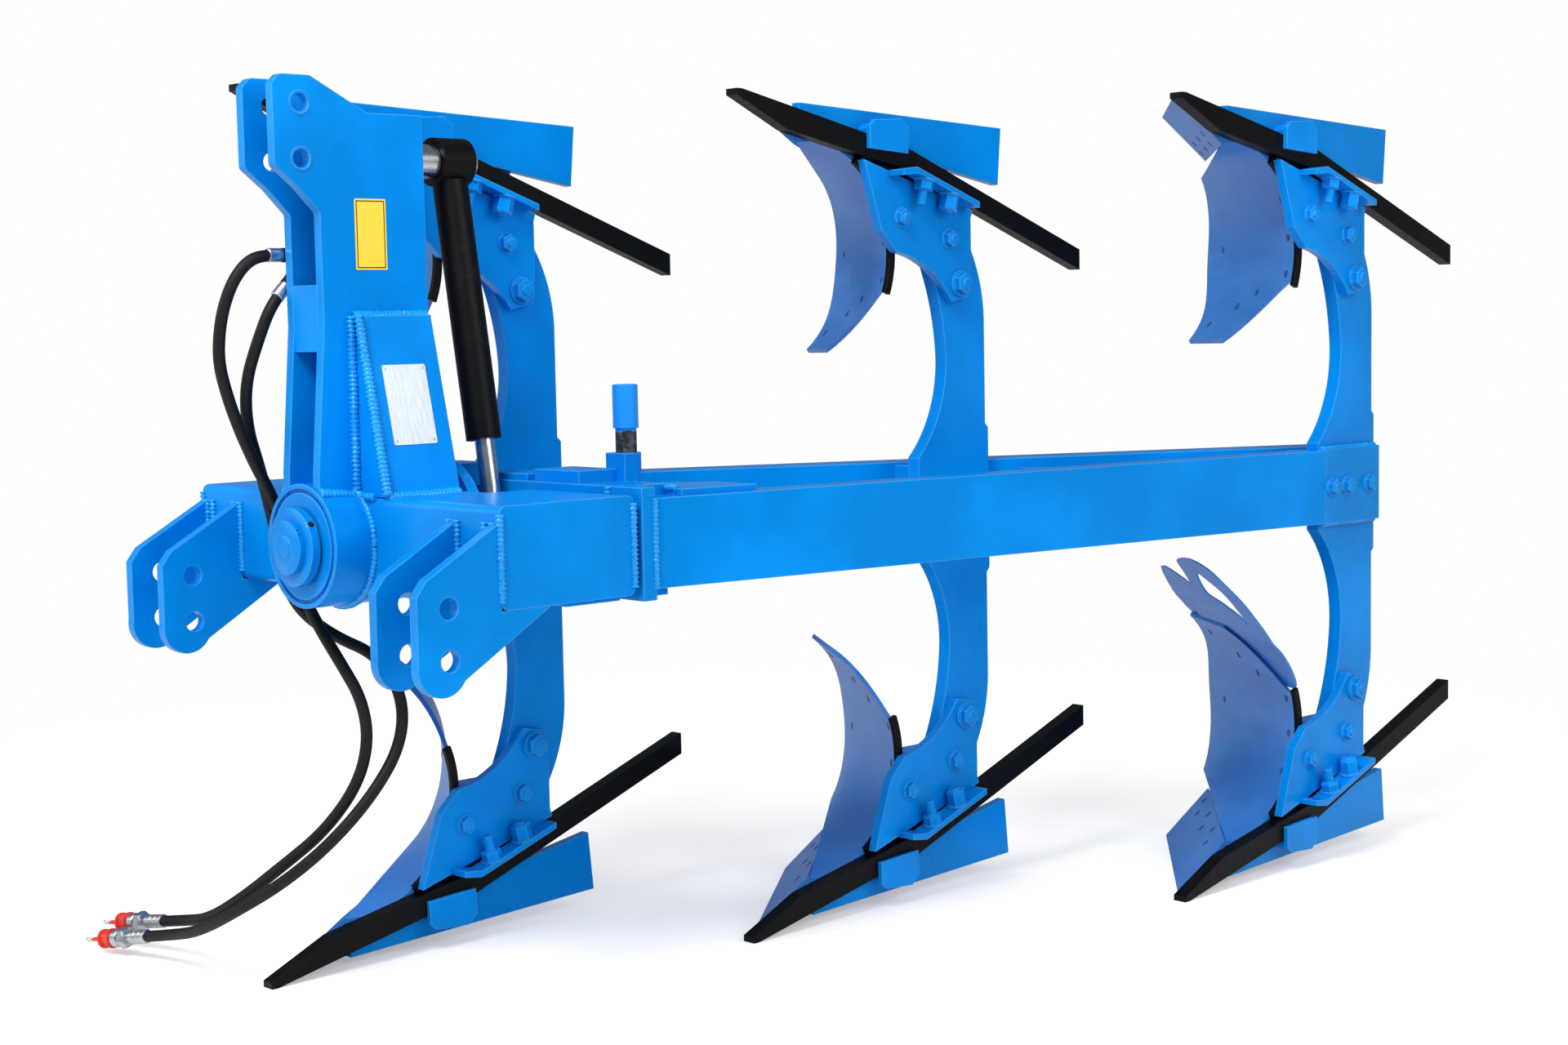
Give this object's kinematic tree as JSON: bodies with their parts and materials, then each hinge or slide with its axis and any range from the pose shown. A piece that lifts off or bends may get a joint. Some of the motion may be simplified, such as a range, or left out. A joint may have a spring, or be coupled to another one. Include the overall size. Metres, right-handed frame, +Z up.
{
  "type": "three-furrow reversible mouldboard plough",
  "caption": "Mounted mouldboard plough with a headstock, a turnover frame carrying left- and right-turning bodies, and a turnover cylinder.",
  "frame": {"origin": "middle of the footprint, on the ground", "axes": "+Z up, -Y forward towards the tractor, +X towards the plough's left, the landside of its bodies"},
  "size_m": [1.466, 2.7701, 1.654],
  "materials": {
    "bare_steel": "machined steel",
    "black_paint": "satin black",
    "black_steel": "satin black over forged steel",
    "blue_paint": "gloss sprayed blue over welds",
    "hose_rubber": "black hydraulic hose cover",
    "red_plastic": "moulded red dust cap",
    "soil_face": "thin blue violet paint on rolled steel",
    "worn_pin": "blue paint worn to dark steel at its foot",
    "zinc": "zinc plated"
  },
  "bodies": {
    "headstock": {"box_pads": "blue_paint", "cross_boxes": "blue_paint", "cylinder_pivot_pin": "bare_steel", "hose_a": "hose_rubber", "hose_b": "hose_rubber", "hose_caps": "red_plastic", "hose_couplers": "zinc", "hose_ferrules": "zinc", "hose_ports": "hose_rubber", "hub_tube": "blue_paint", "link_ears_left": "blue_paint", "link_ears_right": "blue_paint", "mast_gussets": "blue_paint", "mast_plates": "blue_paint", "mast_webs": "blue_paint"},
    "turning_frame": {"bar_clamps_lower": "blue_paint", "bar_clamps_upper": "blue_paint", "bar_points_lower": "black_steel", "bar_points_upper": "black_steel", "beam_flange": "blue_paint", "beam_top_plates": "blue_paint", "cover_plates_lower": "blue_paint", "cover_plates_upper": "blue_paint", "cross_beam": "blue_paint", "end_plate": "blue_paint", "far_beam": "blue_paint", "frame_braces": "blue_paint", "frogs_lower": "blue_paint", "frogs_upper": "blue_paint", "landsides_lower": "blue_paint", "landsides_upper": "blue_paint", "leg_1": "blue_paint", "leg_2": "blue_paint", "leg_3": "blue_paint", "leg_brackets": "blue_paint", "mouldboard_stays_lower": "blue_paint", "mouldboard_stays_upper": "blue_paint", "mouldboards_lower": "soil_face", "mouldboards_upper": "soil_face", "near_beam": "blue_paint", "pivot_bush": "blue_paint", "shares_lower": "soil_face", "shares_upper": "soil_face", "shin_strips_lower": "black_steel", "shin_strips_upper": "black_steel", "swivel_pin": "worn_pin", "tab_plate": "blue_paint", "turnover_head": "blue_paint", "turnover_shaft": "bare_steel"},
    "cylinder_barrel_body": {"cylinder_barrel": "black_paint"},
    "cylinder_rod_body": {"cylinder_rod": "bare_steel"}
  },
  "joints": [
    {"name": "turnover", "type": "hinge", "parent": "headstock", "child": "turning_frame", "pos_m": [-0.08744, -1.12707, 0.826], "axis": [0, -1, 0], "range_deg": [0, 180]},
    {"name": "cylinder_swing", "type": "hinge", "parent": "headstock", "child": "cylinder_barrel_body", "pos_m": [-0.08744, -0.92607, 1.516], "axis": [0, -1, 0], "range_deg": [-19.73, 0]},
    {"name": "rod_slide", "type": "slide", "parent": "cylinder_barrel_body", "child": "cylinder_rod_body", "axis": [0.1713, 0, -0.9852], "range_m": [-0.13, 0]}
  ],
  "couplings": [
    {"joint": "cylinder_swing", "follows": "turnover", "ratio": -0.10962}
  ]
}
